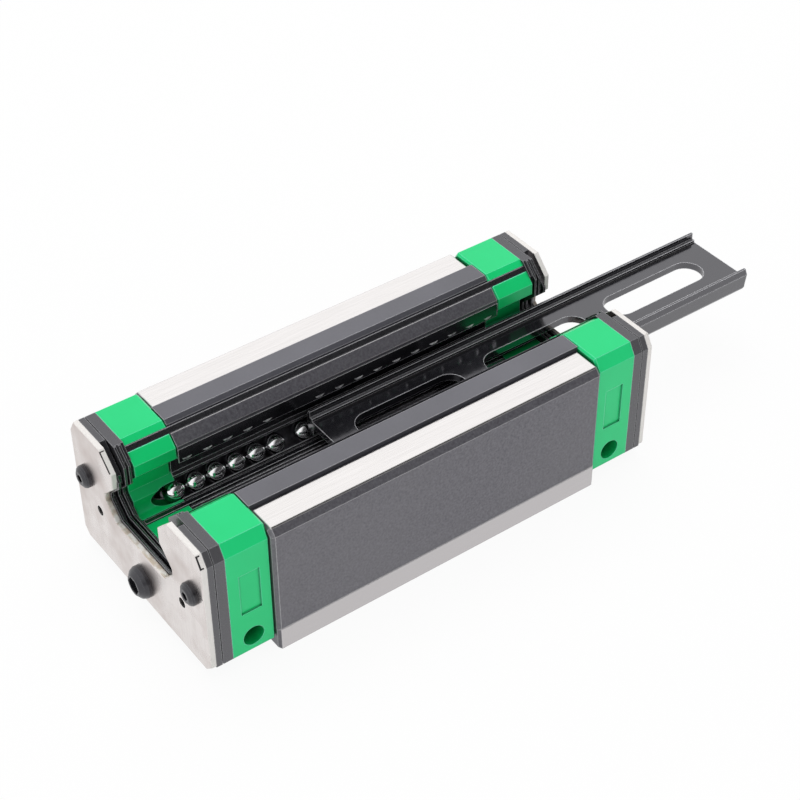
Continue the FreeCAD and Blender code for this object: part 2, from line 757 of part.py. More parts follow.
def make_fasteners(end, place):
    length = s.scraper + s.outer_seal + s.seal_gap + s.inner_seal + s.cap_length + s.screw_grip
    screw = make_screw(end + "_screw", s.screw_size, s.screw_head, s.screw_head_high, s.screw_socket, length)
    screw.Placement = placed(s.screw_across, -head_face, s.screw_height)
    mirror = doc.addObject("Part::Mirroring", end + "_screw_mirror")
    mirror.Source = screw
    mirror.Normal = FreeCAD.Vector(1, 0, 0)
    pair = doc.addObject("Part::Compound", end + "_screw_pair")
    pair.Links = [screw, mirror]
    pair.Placement = place
    keep(end + "_cap_screws", pair)

    reach = s.scraper + s.outer_seal + s.seal_gap + s.inner_seal + s.plug_grip
    plug = make_screw(end + "_plug", s.plug_size, s.plug_head, s.plug_head_high, s.plug_socket, reach)
    spot = placed(0, -head_face, s.plug_height)
    plug.Placement = place.multiply(spot)
    keep(end + "_grease_plug", plug)


# Loaded balls, one row to a node
def make_ball_rows():
    for side, level, across, height, back_across, back_height in ball_rows():
        name = "%s_%s_balls" % (side, level)
        balls = []
        for index in range(BALLS_IN_ROW):
            ball = doc.addObject("Part::Sphere", "%s_%d" % (name, index + 1))
            ball.Radius = s.ball_size.value / 2
            ball.setExpression("Radius", (s.ball_size / 2).text)
            along = (s.low_first if level == "low" else s.high_first) + s.ball_pitch * index
            if level == "low" and index >= BALLS_BEFORE_GAP:
                along = along + s.ball_gap
            ball.Placement = placed(across, along, height)
            for axis, size in (("x", across), ("y", along), ("z", height)):
                ball.setExpression("Placement.Base." + axis, size.text)
            balls.append(ball)
        row = doc.addObject("Part::Compound", name)
        row.Links = balls
        keep(name, row)


def make_strip(name, length, points):
    """A straight piece along the rail, with the same section all the way."""
    body = new_body(name)
    section = new_sketch(body, name + "_section", "XZ_Plane")
    draw_outline(section, points)
    pad(body, section, length, both_ways=True)
    return keep(name, body)


# Plastic retainers that keep the loaded balls in the block
def scoop_rows(body, name, rows):
    sketch = new_sketch(body, name, "XZ_Plane")
    for across, height in rows:
        draw_circle(sketch, across, height, s.ball_size + s.cage_clear * 2)
    pocket(body, sketch)


def make_retainers():
    body = new_body("centre_retainer")
    section = new_sketch(body, "centre_retainer_section", "XZ_Plane")
    draw_outline(section, both_sides([
        (s.cage_outer, s.cavity_floor),
        (s.cage_outer, s.cage_top),
        (s.cage_edge, s.cage_top),
        (s.cage_edge, s.cage_middle),
        (s.cage_ridge + s.ridge_high, s.cage_middle),
        (s.cage_ridge, s.cage_middle + s.ridge_high),
        (s.cage_ridge - s.ridge_high, s.cage_middle),
    ]))
    pad(body, section, s.block_length, both_ways=True)
    for side, sign in SIDES:
        rib = new_sketch(body, side + "_rib_section", "XZ_Plane")
        draw_outline(rib, mirrored(sign, [
            (s.rib_inner, s.rib_foot),
            (s.rib_outer, s.rib_foot),
            (s.rib_outer, s.rib_top - s.ridge_high),
            (s.rib_outer - s.ridge_high, s.rib_top),
            (s.rib_inner, s.rib_top),
        ]))
        pad(body, rib, seal_face * 2, both_ways=True)
    scoop_rows(body, "centre_retainer_rows", [(s.ball_across, s.low_row), (-s.ball_across, s.low_row)])
    keep("centre_retainer", body)

    bevel = s.side_cage_bevel
    for side, sign in SIDES:
        make_strip(side + "_side_retainer", s.block_length, mirrored(sign, [
            (s.side_lip, s.side_lip_low),
            (s.side_cage_inner + bevel, s.pocket_low),
            (s.pocket_half, s.pocket_low),
            (s.pocket_half, s.pocket_high),
            (s.side_cage_inner + bevel, s.pocket_high),
            (s.side_cage_inner, s.pocket_high - bevel),
            (s.side_cage_inner, s.side_lip_high + s.side_cage_inner - s.side_lip),
            (s.side_lip, s.side_lip_high),
        ]))
        name = side + "_lip_retainer"
        body = make_strip(name, s.block_length, mirrored(sign, [
            (s.lip_cage_inner, s.lip_cage_low),
            (s.lip_cage_outer, s.lip_cage_low),
            (s.lip_cage_outer, s.lip_bottom),
            (s.lip_cage_inner, s.lip_bottom),
        ]))
        scoop_rows(body, name + "_row", mirrored(sign, [(s.ball_across, s.high_row)]))


# Bottom seals on the two legs
def make_bottom_seals():
    plate_top = ledge_height + s.plate_thick
    strip_top = s.leg_height - s.strip_drop
    middle = (s.slot_inner + s.slot_outer) / 2
    near = middle - s.strip_wide / 2
    far = middle + s.strip_wide / 2
    for side, sign in SIDES:
        make_strip(side + "_bottom_seal_plate", s.block_length, mirrored(sign, [
            (s.plate_inner, ledge_height),
            (s.plate_outer, ledge_height),
            (s.plate_outer, plate_top),
            (s.plate_inner + s.plate_bevel, plate_top),
            (s.plate_inner, plate_top - s.plate_bevel),
        ]))
        make_strip(side + "_bottom_seal_strip", seal_face * 2, mirrored(sign, [
            (near, s.slot_floor),
            (far, s.slot_floor),
            (far, strip_top),
            (near, strip_top - s.strip_wide),
        ]))


# Plastic transport rail that stands in for the steel rail
def make_transport_rail():
    body = new_body("transport_rail")
    section = new_sketch(body, "transport_rail_section", "XZ_Plane", -s.rail_front)
    draw_outline(section, both_sides([
        (s.wall_inner, s.web_top - s.web_thick),
        (s.wall_inner, s.wall_foot),
        (s.wall_foot_half, s.wall_foot),
        (s.wall_low_half, s.wall_low),
        (s.wall_high_half, s.wall_high),
        (s.lip_top_half, s.lip_top),
        (s.lip_inner, s.lip_top),
        (s.lip_inner, s.web_top + s.ledge_rise),
        (s.ledge_inner, s.web_top + s.ledge_rise),
        (s.ledge_inner, s.web_top),
    ]))
    feature = pad(body, section, s.rail_length)
    feature.Reversed = True
    doc.recompute()
    slots = new_sketch(body, "transport_rail_slots", "XY_Plane")
    for index in range(SLOT_COUNT):
        draw_slot(slots, s.rail_front + s.slot_lead + s.slot_pitch * index)
    pocket(body, slots)
    return keep("transport_rail", body)


def draw_slot(sketch, front):
    """A slot with round ends on the middle line, from its front end."""
    radius = s.slot_wide / 2
    near = front + radius
    far = front + s.slot_long - radius
    first = sketch.GeometryCount
    up = vector(0, 0, 1)
    half = math.pi
    near_circle = Part.Circle(vector(0, near), up, radius.value)
    sketch.addGeometry(Part.ArcOfCircle(near_circle, half, 2 * half), False)
    sketch.addGeometry(Part.LineSegment(vector(radius, near), vector(radius, far)), False)
    sketch.addGeometry(Part.ArcOfCircle(Part.Circle(vector(0, far), up, radius.value), 0, half), False)
    sketch.addGeometry(Part.LineSegment(vector(-radius, far), vector(-radius, near)), False)
    for shape, point, after, start in ((0, 2, 1, 1), (1, 2, 2, 1), (2, 2, 3, 1), (3, 2, 0, 1)):
        sketch.addConstraint(Sketcher.Constraint("Tangent", first + shape, point, first + after, start))
    bind_point(sketch, first, 3, ZERO, near)
    bind_point(sketch, first + 2, 3, ZERO, far)
    made = sketch.addConstraint(Sketcher.Constraint("Radius", first, radius.value))
    sketch.setExpression("Constraints[%d]" % made, radius.text)


def check_and_write():
    doc.recompute()
    failed = [item.Name for item in doc.Objects if "Invalid" in item.State or "Error" in item.State]
    if failed:
        raise ValueError("failed: " + ", ".join(failed))
    for name, thing in parts.items():
        shape = thing.Shape
        if shape.isNull() or not shape.isValid() or not shape.Solids:
            raise ValueError("bad shape: " + name)
    os.makedirs("parts", exist_ok=True)
    for name, thing in parts.items():
        thing.Shape.exportStep("parts/%s.step" % name)
        print(name, len(thing.Shape.Solids), round(thing.Shape.Volume, 1))


make_block()
for end_name, end_place in END_PLACES:
    make_cap(end_name, end_place)
    make_seals(end_name, end_place)
    make_scraper(end_name, end_place)
    make_fasteners(end_name, end_place)
make_ball_rows()
make_retainers()
make_bottom_seals()
make_transport_rail()
check_and_write()
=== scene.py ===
import math

import bmesh
import bpy
from mathutils import Matrix, Vector


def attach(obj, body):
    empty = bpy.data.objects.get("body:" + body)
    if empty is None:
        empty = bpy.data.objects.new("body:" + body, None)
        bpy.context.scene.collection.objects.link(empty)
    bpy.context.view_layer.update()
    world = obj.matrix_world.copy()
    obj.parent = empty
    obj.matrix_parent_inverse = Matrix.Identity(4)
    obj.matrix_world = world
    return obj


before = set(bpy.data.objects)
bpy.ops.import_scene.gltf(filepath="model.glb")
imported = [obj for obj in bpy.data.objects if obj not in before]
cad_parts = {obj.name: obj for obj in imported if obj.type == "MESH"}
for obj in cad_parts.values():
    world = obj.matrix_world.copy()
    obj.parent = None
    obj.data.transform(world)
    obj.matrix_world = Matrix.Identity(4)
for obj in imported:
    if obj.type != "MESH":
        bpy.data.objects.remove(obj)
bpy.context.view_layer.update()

MM = 0.001


# Camera at the photograph's angle
CAMERA_PLACE = Vector((278.03, -192.38, 315.76)) * MM
CAMERA_AIM = Vector((-0.61886, 0.44851, -0.64486)).normalized()
CAMERA_ROLL = math.radians(-0.414)
CAMERA_LENS = 84.17
CAMERA_SENSOR = 36.0
CAMERA_NEAR, CAMERA_FAR = 0.01, 20.0


def make_camera():
    across = CAMERA_AIM.cross(Vector((0, 0, 1))).normalized()
    upward = across.cross(CAMERA_AIM)
    right = across * math.cos(CAMERA_ROLL) + upward * math.sin(CAMERA_ROLL)
    up = upward * math.cos(CAMERA_ROLL) - across * math.sin(CAMERA_ROLL)
    data = bpy.data.cameras.new("camera")
    data.lens = CAMERA_LENS
    data.sensor_width = CAMERA_SENSOR
    data.clip_start = CAMERA_NEAR
    data.clip_end = CAMERA_FAR
    camera = bpy.data.objects.new("camera", data)
    bpy.context.scene.collection.objects.link(camera)
    turn = Matrix((right, up, -CAMERA_AIM)).transposed().to_4x4()
    camera.matrix_world = Matrix.Translation(CAMERA_PLACE) @ turn
    bpy.context.scene.camera = camera


# Node trees
MIX_FIRST, MIX_SECOND, MIX_RESULT = 6, 7, 2  # the Mix node's colour sockets
NOISE_LOW, NOISE_HIGH = 0.3, 0.7  # most of a noise lies between these
EDGE_RADIUS = 0.0003
EDGE_TURN = 0.995, 0.94  # dot product of rounded and true normal, from flat to edge
CORNER_REACH = 0.0007
CORNER_OPEN = 0.45, 0.9  # ambient occlusion, from inner corner to open surface
RAY_SAMPLES = 6


class Shade:
    """The node tree of a new material, or of the world, with short calls to build it."""

    def __init__(self, owner):
        if isinstance(owner, str):
            self.material = bpy.data.materials.new(owner)
            self.material.use_nodes = True
            self.tree = self.material.node_tree
            self.tree.nodes.clear()
            self.output = self.add("ShaderNodeOutputMaterial")
            self.place = self.add("ShaderNodeTexCoord").outputs["Object"]
        else:
            self.tree = owner.node_tree
            self.tree.nodes.clear()
            self.output = self.add("ShaderNodeOutputWorld")

    def add(self, kind, **settings):
        node = self.tree.nodes.new(kind)
        for name, value in settings.items():
            setattr(node, name, value)
        return node

    def feed(self, socket, value):
        """Link another node's output to the socket, or set the socket's own value."""
        if hasattr(value, "is_output"):
            self.tree.links.new(value, socket)
        elif isinstance(value, tuple) and len(value) == 3 and socket.type == "RGBA":
            socket.default_value = (*value, 1.0)
        else:
            socket.default_value = value

    def principled(self, **inputs):
        node = self.add("ShaderNodeBsdfPrincipled")
        for name, value in inputs.items():
            self.feed(node.inputs[name.replace("_", " ")], value)
        self.feed(self.output.inputs["Surface"], node.outputs[0])

    def math(self, operation, first, second=0.0):
        node = self.add("ShaderNodeMath", operation=operation)
        self.feed(node.inputs[0], first)
        self.feed(node.inputs[1], second)
        return node.outputs[0]

    def stretched(self, scale):
        node = self.add("ShaderNodeMapping")
        self.feed(node.inputs["Vector"], self.place)
        self.feed(node.inputs["Scale"], scale)
        return node.outputs[0]

    def noise(self, scale, detail=3.0, rough=0.5, vector=None):
        node = self.add("ShaderNodeTexNoise")
        self.feed(node.inputs["Vector"], vector or self.place)
        self.feed(node.inputs["Scale"], scale)
        self.feed(node.inputs["Detail"], detail)
        self.feed(node.inputs["Roughness"], rough)
        return node.outputs["Fac"]

    def spread(self, value, low, high, to_low=0.0, to_high=1.0):
        node = self.add("ShaderNodeMapRange")
        self.feed(node.inputs["Value"], value)
        self.feed(node.inputs["From Min"], low)
        self.feed(node.inputs["From Max"], high)
        self.feed(node.inputs["To Min"], to_low)
        self.feed(node.inputs["To Max"], to_high)
        return node.outputs["Result"]

    def full(self, noise, to_low=0.0, to_high=1.0):
        """A noise brought to the whole of a range."""
        return self.spread(noise, NOISE_LOW, NOISE_HIGH, to_low, to_high)

    def blend(self, amount, first, second):
        node = self.add("ShaderNodeMix", data_type="RGBA")
        self.feed(node.inputs["Factor"], amount)
        self.feed(node.inputs[MIX_FIRST], first)
        self.feed(node.inputs[MIX_SECOND], second)
        return node.outputs[MIX_RESULT]

    def bump(self, height, strength, distance, normal):
        node = self.add("ShaderNodeBump")
        self.feed(node.inputs["Height"], height)
        self.feed(node.inputs["Strength"], strength)
        self.feed(node.inputs["Distance"], distance)
        self.feed(node.inputs["Normal"], normal)
        return node.outputs[0]

    def hollow(self, distance, low, high):
        """1 in the open and 0 in narrow corners."""
        node = self.add("ShaderNodeAmbientOcclusion", samples=RAY_SAMPLES)
        self.feed(node.inputs["Distance"], distance)
        return self.spread(node.outputs["AO"], low, high)

    def true_normal(self):
        return self.add("ShaderNodeNewGeometry").outputs["Normal"]

    def edges(self):
        """Rounded normal, 1 away from inner corners, and 1 on outer edges."""
        bevel = self.add("ShaderNodeBevel", samples=RAY_SAMPLES)
        self.feed(bevel.inputs["Radius"], EDGE_RADIUS)
        rounded = bevel.outputs[0]
        open_share = self.hollow(CORNER_REACH, *CORNER_OPEN)
        dot = self.add("ShaderNodeVectorMath", operation="DOT_PRODUCT")
        self.feed(dot.inputs[0], rounded)
        self.feed(dot.inputs[1], self.true_normal())
        turned = self.spread(dot.outputs["Value"], *EDGE_TURN)
        return rounded, open_share, self.math("MULTIPLY", turned, open_share)

    def axes(self, vector=None):
        node = self.add("ShaderNodeSeparateXYZ")
        self.feed(node.inputs[0], vector or self.place)
        return node.outputs


# Lights, world and floor
SOFTBOXES = {  # place, size and power
    "top_softbox": ((-0.25, 0.15, 0.95), 0.9, 6.0),
    "side_softbox": ((0.95, -0.10, 0.45), 0.6, 1.6),
    "front_softbox": ((-0.15, -1.0, 0.40), 0.6, 1.6),
}
ROOM_BRIGHT = 1.12
ROOM_DARK = 0.07
ROOM_FILL = 0.50
WALL_WAY = 0.82, 0.57  # x and y of the way to the middle of the dark wall
WALL_SIDE = 0.10, 0.50  # along that way, from bright room to full wall
WALL_FOOT = 0.12, 0.30  # upwards, the same
FLOOR_HALF = 6.0
FLOOR_DROP = 0.00002
FLOOR_GREYS = (0.86, 0.86, 0.86), (0.90, 0.90, 0.90)
FLOOR_GRAIN = 0.985, 1.0
FLOOR_GLOW = 0.93
WHITE = (1.0, 1.0, 1.0)


def make_lights():
    for name, (place, size, power) in SOFTBOXES.items():
        data = bpy.data.lights.new(name, "AREA")
        data.energy = power
        data.size = size
        light = bpy.data.objects.new(name, data)
        bpy.context.scene.collection.objects.link(light)
        light.location = place
        light.rotation_euler = (-Vector(place)).to_track_quat("-Z", "Y").to_euler()
        light.visible_glossy = False


def make_world():
    """White to the camera; in reflections a bright room with one dark wall at the right rear."""
    world = bpy.data.worlds.new("studio")
    bpy.context.scene.world = world
    world.use_nodes = True
    shade = Shade(world)
    x, y, z = shade.axes(shade.add("ShaderNodeTexCoord").outputs["Generated"])
    across = shade.math("MULTIPLY", x, WALL_WAY[0])
    across = shade.math("ADD", across, shade.math("MULTIPLY", y, WALL_WAY[1]))
    wall = shade.spread(across, *WALL_SIDE)
    wall = shade.math("MULTIPLY", wall, shade.spread(z, *WALL_FOOT))
    room = shade.spread(wall, 0.0, 1.0, ROOM_BRIGHT, ROOM_DARK)
    rays = shade.add("ShaderNodeLightPath").outputs
    strength = shade.math("MULTIPLY", rays["Is Glossy Ray"], room)
    seen = shade.math("MAXIMUM", rays["Is Camera Ray"], rays["Is Transmission Ray"])
    strength = shade.math("ADD", strength, seen)
    others = shade.math("SUBTRACT", 1.0, shade.math("MAXIMUM", seen, rays["Is Glossy Ray"]))
    strength = shade.math("ADD", strength, shade.math("MULTIPLY", others, ROOM_FILL))
    light = shade.add("ShaderNodeBackground")
    shade.feed(light.inputs["Color"], WHITE)
    shade.feed(light.inputs["Strength"], strength)
    shade.feed(shade.output.inputs["Surface"], light.outputs[0])


def floor_material():
    """Pale cloth that takes the shadow and shows nearly white to the eye and in reflections."""
    shade = Shade("floor")
    cloth = shade.add("ShaderNodeBsdfDiffuse")
    grain = shade.full(shade.noise(40.0), *FLOOR_GRAIN)
    shade.feed(cloth.inputs["Color"], shade.blend(grain, *FLOOR_GREYS))
    glow = shade.add("ShaderNodeEmission")
    shade.feed(glow.inputs["Strength"], 1.0)
    rays = shade.add("ShaderNodeLightPath").outputs
    seen = shade.math("MAXIMUM", rays["Is Camera Ray"], rays["Is Glossy Ray"])
    seen = shade.math("MAXIMUM", seen, rays["Is Transmission Ray"])
    mix = shade.add("ShaderNodeMixShader")
    shade.feed(mix.inputs[0], shade.math("MULTIPLY", seen, FLOOR_GLOW))
    shade.feed(mix.inputs[1], cloth.outputs[0])
    shade.feed(mix.inputs[2], glow.outputs[0])
    shade.feed(shade.output.inputs["Surface"], mix.outputs[0])
    return shade.material


def make_floor():
    mesh = bpy.data.meshes.new("floor")
    half = FLOOR_HALF
    corners = [(-half, -half, 0), (half, -half, 0), (half, half, 0), (-half, half, 0)]
    mesh.from_pydata(corners, [], [(0, 1, 2, 3)])
    mesh.materials.append(floor_material())
    floor = bpy.data.objects.new("floor", mesh)
    floor.location.z = -FLOOR_DROP
    bpy.context.scene.collection.objects.link(floor)


# Materials: colours in pairs, from the low to the high end of their noise
GROUND_STEEL = (0.79, 0.765, 0.755), (0.85, 0.825, 0.815)
SIDE_STRIP_PAINTED_SHADE = (0.47, 0.45, 0.455)
PHOSPHATE_GRAIN = (0.054, 0.052, 0.064), (0.148, 0.144, 0.164)
PHOSPHATE_CLOUD = (0.130, 0.127, 0.136)
PHOSPHATE_EDGE_HIGHLIGHT = (0.60, 0.59, 0.60)
GREEN = (0.004, 0.595, 0.155), (0.006, 0.635, 0.175)
GREEN_CORNER_SHADE = (0.001, 0.26, 0.07)
GREEN_HOLLOW_SHADE = (0.0005, 0.17, 0.04)
GREEN_EDGE_HIGHLIGHT = (0.18, 0.82, 0.50)
LEDGE_PAINTED_LIGHT = (0.24, 0.24, 0.25)
SCRAPER_STREAKS = (0.695, 0.65, 0.635), (0.765, 0.72, 0.70)
SCRAPER_CLOUD_REFLECTION = (0.555, 0.485, 0.46)
SCRAPER_EDGE_HIGHLIGHT = (0.93, 0.92, 0.91)
SCRAPER_CUT = (0.80, 0.775, 0.75)
SCRAPER_CUT_TAN_REFLECTION = (0.46, 0.36, 0.26)
SCRAPER_CUT_HOLLOW_SHADE = (0.010, 0.009, 0.009)
BALL_STEEL = (0.78, 0.78, 0.79), (0.84, 0.84, 0.85)
BALL_GLEAM = (0.30, 0.30, 0.31), (0.85, 0.85, 0.86)
SHADE_LINE_TONES = (0.004, 0.004, 0.005), (0.012, 0.011, 0.012)

# Where the carriage block's finish changes, in metres, each from one finish to the other
DARK_SIDE_START = 6.55 * MM, 6.75 * MM
SIDE_STRIP_END = 6.6 * MM, 6.9 * MM
LAND_START = 36.6 * MM, 36.8 * MM
LEG_TOP = 36.0 * MM, 36.7 * MM
LAND_INNER_SIDE = 21.2 * MM, 21.4 * MM
DARK_END = 45.75 * MM, 45.9 * MM

# The scraper's throat, where its cut edge gets a painted brown reflection of its surroundings
THROAT_HALF = 16.0 * MM, 18.0 * MM
THROAT_TOP = 26.0 * MM, 28.0 * MM

# Painted light on a ledge fades out over this distance from its height
LIT_LEDGE_FADE = 0.03 * MM, 0.06 * MM


def steel_block():
    """Ground steel with a dark phosphated finish between the ground lands."""
    shade = Shade("carriage_steel")
    x, y, z = shade.axes()
    above_strip = shade.spread(z, *DARK_SIDE_START)
    below_land = shade.spread(z, *LAND_START, 1.0, 0.0)
    dark = shade.math("MULTIPLY", above_strip, below_land)
    on_leg = shade.spread(z, *LEG_TOP)
    off_land = shade.spread(shade.math("ABSOLUTE", x), *LAND_INNER_SIDE, 1.0, 0.0)
    dark = shade.math("MAXIMUM", dark, shade.math("MULTIPLY", on_leg, off_land))
    at_end = shade.spread(shade.math("ABSOLUTE", y), *DARK_END)
    dark = shade.math("MAXIMUM", dark, at_end)
    grinding = shade.stretched((2600.0, 60.0, 2600.0))
    ground = shade.noise(1.0, detail=2.0, rough=0.6, vector=grinding)
    bright = shade.blend(shade.full(ground), *GROUND_STEEL)
    # Painted shade: the ground strip at the foot of each side is drawn darker, standing in for
    # the shadowed floor that it reflects
    on_strip = shade.spread(z, *SIDE_STRIP_END, 1.0, 0.0)
    bright = shade.blend(shade.math("MULTIPLY", on_strip, 0.85), bright, SIDE_STRIP_PAINTED_SHADE)
    grain = shade.noise(1700.0, rough=0.7)
    black = shade.blend(shade.full(grain), *PHOSPHATE_GRAIN)
    cloud = shade.spread(shade.noise(25.0), 0.35, 0.65, 0.0, 0.35)
    black = shade.blend(cloud, black, PHOSPHATE_CLOUD)
    rounded, _, edge = shade.edges()
    colour = shade.blend(dark, bright, black)
    # Painted highlight: outer edges are drawn towards a pale grey
    colour = shade.blend(shade.math("MULTIPLY", edge, 0.8), colour, PHOSPHATE_EDGE_HIGHLIGHT)
    height = shade.blend(dark, ground, grain)
    shade.principled(
        Base_Color=colour, Roughness=shade.spread(dark, 0.0, 1.0, 0.24, 0.42),
        Metallic=shade.spread(dark, 0.0, 1.0, 1.0, 0.35),
        Normal=shade.bump(height, strength=0.25, distance=0.00003, normal=rounded),
        Specular_IOR_Level=0.9, IOR=1.6, Specular_Tint=(0.97, 0.96, 1.0))
    return shade.material


def green_plastic():
    """Smooth moulded plastic, with painted shade in its corners and hollows and painted
    highlights along its edges.
    """
    shade = Shade("green_plastic")
    colour = shade.blend(shade.full(shade.noise(60.0)), *GREEN)
    fine = shade.noise(900.0, detail=2.0)
    rounded, open_share, edge = shade.edges()
    # Painted shade: inner corners are drawn darker
    colour = shade.blend(open_share, GREEN_CORNER_SHADE, colour)
    # Painted shade: holes and pockets are drawn darker still
    colour = shade.blend(shade.hollow(0.006, 0.15, 0.60), GREEN_HOLLOW_SHADE, colour)
    # Painted highlight: outer edges are drawn paler
    colour = shade.blend(edge, colour, GREEN_EDGE_HIGHLIGHT)
    shade.principled(
        Base_Color=colour, Roughness=shade.full(fine, 0.28, 0.34),
        Normal=shade.bump(fine, strength=0.04, distance=0.00003, normal=rounded),
        Specular_IOR_Level=0.9, IOR=1.5, Specular_Tint=(0.30, 1.0, 1.0))
    return shade.material


def black_material(name, tones, roughness, rim, scale=1500.0, gloss=1.0, lit_ledge=None):
    """Black plastic, rubber or oxide: two tones in clouds, with painted highlights on the outer
    edges.

    rim is the tone of the painted highlights on the outer edges. ledge gives the height in
    millimetres of a face that is painted paler than the rest, as painted light, and by how much.
    """
    shade = Shade(name)
    fine = shade.noise(scale, detail=2.0, rough=0.6)
    darkest, palest = [(tone, tone, tone * 1.2) for tone in tones]
    colour = shade.blend(shade.full(shade.noise(45.0)), darkest, palest)
    rounded, _, edge = shade.edges()
    # Painted light: a face at the given height is drawn paler, as if lit from above
    if lit_ledge:
        height, share = lit_ledge
        off = shade.math("ABSOLUTE", shade.math("SUBTRACT", shade.axes()[2], height * MM))
        colour = shade.blend(shade.spread(off, *LIT_LEDGE_FADE, share, 0.0), colour, LEDGE_PAINTED_LIGHT)
    # Painted highlight: outer edges are drawn towards the rim tone
    colour = shade.blend(shade.math("MULTIPLY", edge, 0.85), colour, (rim, rim, rim * 1.04))
    shade.principled(
        Base_Color=colour, Roughness=shade.full(fine, *roughness),
        Normal=shade.bump(fine, strength=0.12, distance=0.00003, normal=rounded),
        Specular_IOR_Level=gloss, IOR=1.62, Specular_Tint=(0.95, 0.94, 1.0))
    return shade.material


def brushed_plate():
    """Brushed stainless sheet: upright streaks and painted warm reflections in clouds on its
    faces, pale cut edges.
    """
    shade = Shade("scraper_steel")
    brushing = shade.stretched((1900.0, 1900.0, 45.0))
    streak = shade.noise(1.0, detail=2.0, rough=0.6, vector=brushing)
    colour = shade.blend(shade.spread(streak, 0.25, 0.75), *SCRAPER_STREAKS)
    cloud = shade.noise(70.0, rough=0.6)
    # Painted reflection: warm brownish clouds on the faces
    colour = shade.blend(shade.spread(cloud, 0.42, 0.66, 0.0, 0.9), colour, SCRAPER_CLOUD_REFLECTION)
    rounded, _, edge = shade.edges()
    # Painted highlight: outer edges are drawn near white
    colour = shade.blend(edge, colour, SCRAPER_EDGE_HIGHLIGHT)
    x, _, z = shade.axes()
    throat = shade.spread(shade.math("ABSOLUTE", x), *THROAT_HALF, 1.0, 0.0)
    throat = shade.math("MULTIPLY", throat, shade.spread(z, *THROAT_TOP, 1.0, 0.0))
    # Painted reflection: brown patches on the cut edges in the throat
    tan = shade.spread(shade.noise(420.0, detail=2.0), 0.42, 0.60, 0.0, 0.75)
    cut = shade.blend(shade.math("MULTIPLY", tan, throat), SCRAPER_CUT, SCRAPER_CUT_TAN_REFLECTION)
    # Painted shade: narrow corners of the cut edges are drawn near black
    cut = shade.blend(shade.hollow(0.003, 0.40, 0.80), SCRAPER_CUT_HOLLOW_SHADE, cut)
    facing = shade.math("ABSOLUTE", shade.axes(shade.true_normal())[1])
    on_face = shade.spread(facing, 0.55, 0.85)
    rough = shade.math("MULTIPLY", shade.full(cloud, 0.22, 0.34),
                       shade.spread(on_face, 0.0, 1.0, 1.8, 1.0))
    shade.principled(
        Base_Color=shade.blend(on_face, cut, colour), Roughness=rough,
        Metallic=shade.spread(on_face, 0.0, 1.0, 0.10, 1.0),
        Normal=shade.bump(streak, strength=0.10, distance=0.00002, normal=rounded))
    return shade.material


def ball_steel():
    """Polished bearing balls."""
    shade = Shade("ball_steel")
    cloud = shade.noise(300.0, detail=2.0)
    shade.principled(
        Base_Color=shade.blend(cloud, *BALL_STEEL), Roughness=shade.full(cloud, 0.04, 0.08),
        Metallic=1.0)
    return shade.material


def ball_gleam():
    """Painted glints for the light on the upper balls, seen past the lower edge of the lip
    retainers.
    """
    shade = Shade("ball_gleam")
    cloud = shade.noise(900.0, detail=2.0)
    colour = shade.blend(shade.spread(cloud, 0.35, 0.65), *BALL_GLEAM)
    shade.principled(Base_Color=colour, Roughness=shade.full(cloud, 0.25, 0.4), Metallic=0.2)
    return shade.material


def painted_shade_line():
    """Near-black painted shade of a narrow groove or sheared edge."""
    shade = Shade("painted_shade_line")
    fine = shade.noise(2200.0, detail=2.0, rough=0.6)
    shade.principled(
        Base_Color=shade.blend(fine, *SHADE_LINE_TONES), Roughness=shade.full(fine, 0.5, 0.65))
    return shade.material


def paint(material, *names):
    for name in names:
        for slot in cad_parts[name].material_slots:
            slot.material = material


def at_ends(*names):
    return [end + name for end in ("front", "rear") for name in names]


def at_sides(*names):
    return [side + name for side in ("left", "right") for name in names]


def dress_nodes():
    paint(steel_block(), "carriage_block")
    paint(green_plastic(), *at_ends("_end_cap"))
    paint(brushed_plate(), *at_ends("_scraper"))
    rubber = black_material("seal_rubber", (0.006, 0.012), (0.24, 0.36), 0.28)
    paint(rubber, *at_ends("_inner_end_seal", "_outer_end_seal"),
          *at_sides("_bottom_seal_strip"))
    oxide = black_material("black_oxide", (0.010, 0.018), (0.26, 0.36), 0.10, gloss=0.5)
    paint(oxide, *at_ends("_cap_screws", "_grease_plug"))
    cage = black_material("retainer_plastic", (0.006, 0.012), (0.14, 0.24), 0.85)
    paint(cage, "centre_retainer", *at_sides("_lip_retainer"), *at_ends("_turn_guides"))
    lipped = black_material(
        "side_retainer_plastic", (0.006, 0.012), (0.14, 0.24), 0.85, lit_ledge=(21.35, 1.0))
    paint(lipped, *at_sides("_side_retainer"))
    plate = black_material("seal_plate", (0.046, 0.070), (0.34, 0.46), 0.50)
    paint(plate, *at_sides("_bottom_seal_plate"))
    paint(ball_steel(), *at_sides("_low_balls", "_high_balls"))
    rail = black_material(
        "rail_plastic", (0.010, 0.016), (0.10, 0.18), 0.85, 900.0, lit_ledge=(23.7, 0.45))
    paint(rail, "transport_rail")


# Fine pieces that lie on the solids; all their sizes are in millimetres
LINE_LIFT = 0.012  # how far a line stands above its face
LINE_ROOT = 0.05  # and how far it goes down into it
EDGE_LINE_ROOT = 0.2
MITRE_LEAST = 0.5  # keeps a line's corners short
SCRAPER_FACE = -63.7
SLOPE_LINE_WIDTH = 0.24
CORNER_LINE_WIDTH = 0.34
SCRATCH_WIDTH = 0.16
GROOVE_WIDTH = 0.6
GROOVE_PLACE = 8.5, 23.0  # its distance from the middle, and its height
GROOVE_ENDS = -9.3, 112.2

